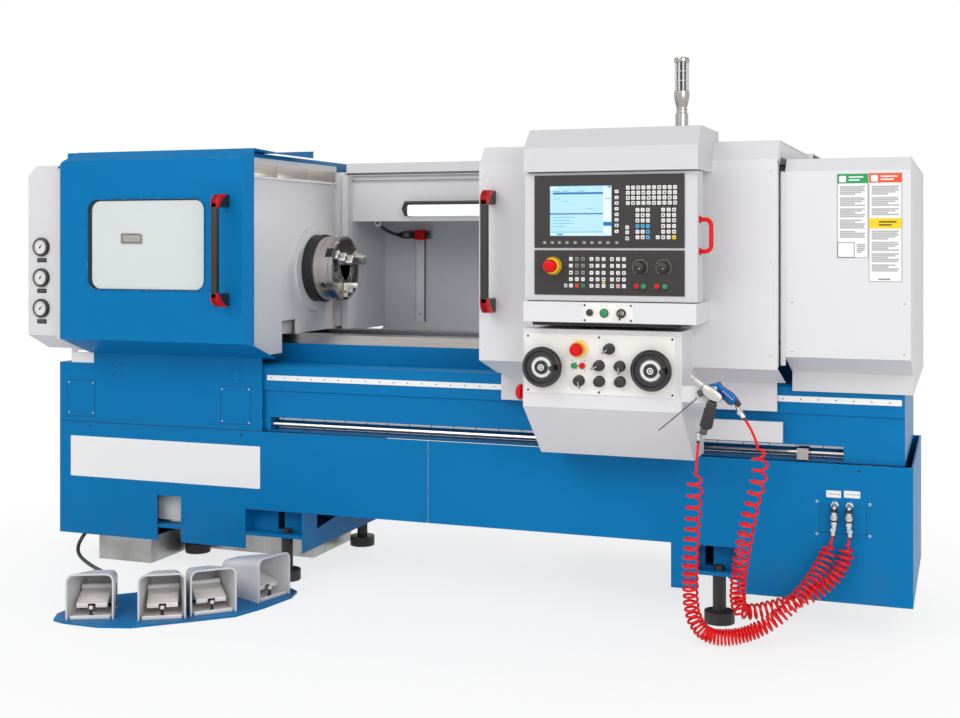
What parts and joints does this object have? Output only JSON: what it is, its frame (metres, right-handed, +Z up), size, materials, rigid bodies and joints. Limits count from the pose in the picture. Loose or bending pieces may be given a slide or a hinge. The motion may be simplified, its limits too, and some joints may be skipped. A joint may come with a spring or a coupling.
{
  "type": "cnc turning lathe",
  "caption": "Flat-bed turning lathe with a sliding headstock door, a travelling guarded carriage with swivelling operator panel, tailstock, foot pedals and coiled air hoses.",
  "frame": {"origin": "floor level, at the middle of the machine's length and depth", "axes": "+X along the bed from the headstock to the tailstock, -Y towards the operator, +Z up"},
  "size_m": [3.23, 1.72, 1.814],
  "materials": {
    "blue_enamel": "satin",
    "grey_enamel": "satin",
    "ground_steel": "machined",
    "dark_steel": "satin",
    "plated_brass": "satin",
    "bright_alloy": "satin",
    "blue_alloy": "gloss",
    "cable_rubber": "matte",
    "red_hose": "gloss",
    "black_plastic": "matte",
    "red_plastic": "gloss",
    "cream_plate": "satin",
    "window_glass": "clear",
    "lamp_plastic": "matte",
    "lens_plastic": "clear",
    "tank_steel": "satin"
  },
  "bodies": {
    "machine": {"base_left": "blue_enamel", "base_right": "blue_enamel", "bed_casting": "blue_enamel", "headstock_base_cover": "blue_enamel", "headstock_housing": "grey_enamel", "headstock_cover": "grey_enamel", "splash_wall": "grey_enamel", "end_cabinet": "grey_enamel", "pressure_gauges": "dark_steel", "rear_enclosure": "grey_enamel", "work_lamp": "lamp_plastic", "door_switch": "red_plastic", "switch_cable": "cable_rubber", "right_cabinet": "grey_enamel", "levelling_feet": "dark_steel", "rail_cover_strip": "ground_steel", "stop_rod": "ground_steel", "hose_couplings": "plated_brass", "main_motor": "dark_steel", "coolant_tank": "tank_steel", "electrical_cabinet": "grey_enamel", "pedal_plate": "blue_enamel", "pedal_housings": "grey_enamel", "pedal_cables": "cable_rubber", "hose_1": "red_hose", "hose_2": "red_hose"},
    "spindle_unit": {"spindle": "ground_steel", "chuck_body": "ground_steel"},
    "jaw_1_body": {"jaw_1": "ground_steel"},
    "jaw_2_body": {"jaw_2": "ground_steel"},
    "jaw_3_body": {"jaw_3": "ground_steel"},
    "door": {"sliding_door": "blue_enamel", "door_window": "window_glass", "door_handle": "black_plastic"},
    "carriage": {"saddle": "grey_enamel", "carriage_guard": "grey_enamel", "guard_handle": "black_plastic", "station_hood": "grey_enamel", "apron": "grey_enamel", "control_plate": "cream_plate", "silver_gun": "bright_alloy", "blue_gun": "blue_alloy", "warning_beacon": "lens_plastic"},
    "cross": {"cross_slide": "grey_enamel"},
    "turret": {"tool_turret": "ground_steel"},
    "panel": {"panel_housing": "grey_enamel", "panel_handle": "red_plastic", "hmi_panel": "black_plastic", "operating_panel": "black_plastic"},
    "panel_stop": {"emergency_stop_1": "red_plastic"},
    "apron_stop": {"emergency_stop_2": "red_plastic"},
    "wheel_left": {"handwheel_left": "black_plastic"},
    "wheel_right": {"handwheel_right": "black_plastic"},
    "treadle_1_body": {"treadle_1": "ground_steel"},
    "treadle_2_body": {"treadle_2": "ground_steel"},
    "treadle_3_body": {"treadle_3": "ground_steel"},
    "treadle_4_body": {"treadle_4": "ground_steel"},
    "tail": {"tailstock": "grey_enamel"},
    "quill": {"tailstock_quill": "ground_steel"},
    "rear_door": {"cabinet_door": "grey_enamel"}
  },
  "joints": [
    {"name": "spindle_spin", "type": "hinge", "parent": "machine", "child": "spindle_unit", "pos_m": [-0.624, 0.26, 1.139], "axis": [1, 0, 0], "continuous": true},
    {"name": "jaw_1_slide", "type": "slide", "parent": "spindle_unit", "child": "jaw_1_body", "axis": [0, 0, -1], "range_m": [-0.008, 0.012]},
    {"name": "jaw_2_slide", "type": "slide", "parent": "spindle_unit", "child": "jaw_2_body", "axis": [0, 0.866, 0.5], "range_m": [-0.008, 0.012]},
    {"name": "jaw_3_slide", "type": "slide", "parent": "spindle_unit", "child": "jaw_3_body", "axis": [0, -0.866, 0.5], "range_m": [-0.008, 0.012]},
    {"name": "door_slide", "type": "slide", "parent": "machine", "child": "door", "axis": [1, 0, 0], "range_m": [0, 0.85]},
    {"name": "carriage_slide", "type": "slide", "parent": "machine", "child": "carriage", "axis": [1, 0, 0], "range_m": [-0.86, 0.025], "deforming": ["hose_1", "hose_2"]},
    {"name": "cross_slide_feed", "type": "slide", "parent": "carriage", "child": "cross", "axis": [0, 1, 0], "range_m": [-0.12, 0.085]},
    {"name": "turret_index", "type": "hinge", "parent": "cross", "child": "turret", "pos_m": [0.443, -0.01, 1.139], "axis": [1, 0, 0], "continuous": true},
    {"name": "panel_swivel", "type": "hinge", "parent": "carriage", "child": "panel", "pos_m": [0.516, -0.5115, 1.26], "axis": [0, 0, 1], "range_deg": [-90, 0]},
    {"name": "panel_stop_press", "type": "slide", "parent": "panel", "child": "panel_stop", "axis": [0, 1, 0], "range_m": [0, 0.006], "stiffness_N_per_m": 800},
    {"name": "apron_stop_press", "type": "slide", "parent": "carriage", "child": "apron_stop", "axis": [0, 1, 0], "range_m": [0, 0.006], "stiffness_N_per_m": 800},
    {"name": "handwheel_left_turn", "type": "hinge", "parent": "carriage", "child": "wheel_left", "pos_m": [0.543, -0.54, 0.859], "axis": [0, 1, 0], "continuous": true},
    {"name": "handwheel_right_turn", "type": "hinge", "parent": "carriage", "child": "wheel_right", "pos_m": [0.884, -0.54, 0.859], "axis": [0, 1, 0], "continuous": true},
    {"name": "treadle_1_press", "type": "hinge", "parent": "machine", "child": "treadle_1_body", "pos_m": [-0.9809, -0.68984, 0.07724], "axis": [0.9063, 0.4226, 0], "range_deg": [0, 8], "stiffness_Nm_per_rad": 12},
    {"name": "treadle_2_press", "type": "hinge", "parent": "machine", "child": "treadle_2_body", "pos_m": [-0.77156, -0.61457, 0.07724], "axis": [0.8572, 0.515, 0], "range_deg": [0, 8], "stiffness_Nm_per_rad": 12},
    {"name": "treadle_3_press", "type": "hinge", "parent": "machine", "child": "treadle_3_body", "pos_m": [-0.67317, -0.51645, 0.07724], "axis": [0.7193, 0.6947, 0], "range_deg": [0, 8], "stiffness_Nm_per_rad": 12},
    {"name": "treadle_4_press", "type": "hinge", "parent": "machine", "child": "treadle_4_body", "pos_m": [-0.61433, -0.33954, 0.07724], "axis": [0.2588, 0.9659, 0], "range_deg": [0, 8], "stiffness_Nm_per_rad": 12},
    {"name": "tailstock_slide", "type": "slide", "parent": "machine", "child": "tail", "axis": [1, 0, 0], "range_m": [-0.29, 0]},
    {"name": "quill_slide", "type": "slide", "parent": "tail", "child": "quill", "axis": [-1, 0, 0], "range_m": [0, 0.12]},
    {"name": "rear_door_hinge", "type": "hinge", "parent": "machine", "child": "rear_door", "pos_m": [0.293, 0.8503, 0.425], "axis": [0, 0, 1], "range_deg": [0, 110]}
  ],
  "couplings": [
    {"joint": "jaw_2_slide", "follows": "jaw_1_slide", "ratio": 1},
    {"joint": "jaw_3_slide", "follows": "jaw_1_slide", "ratio": 1}
  ]
}
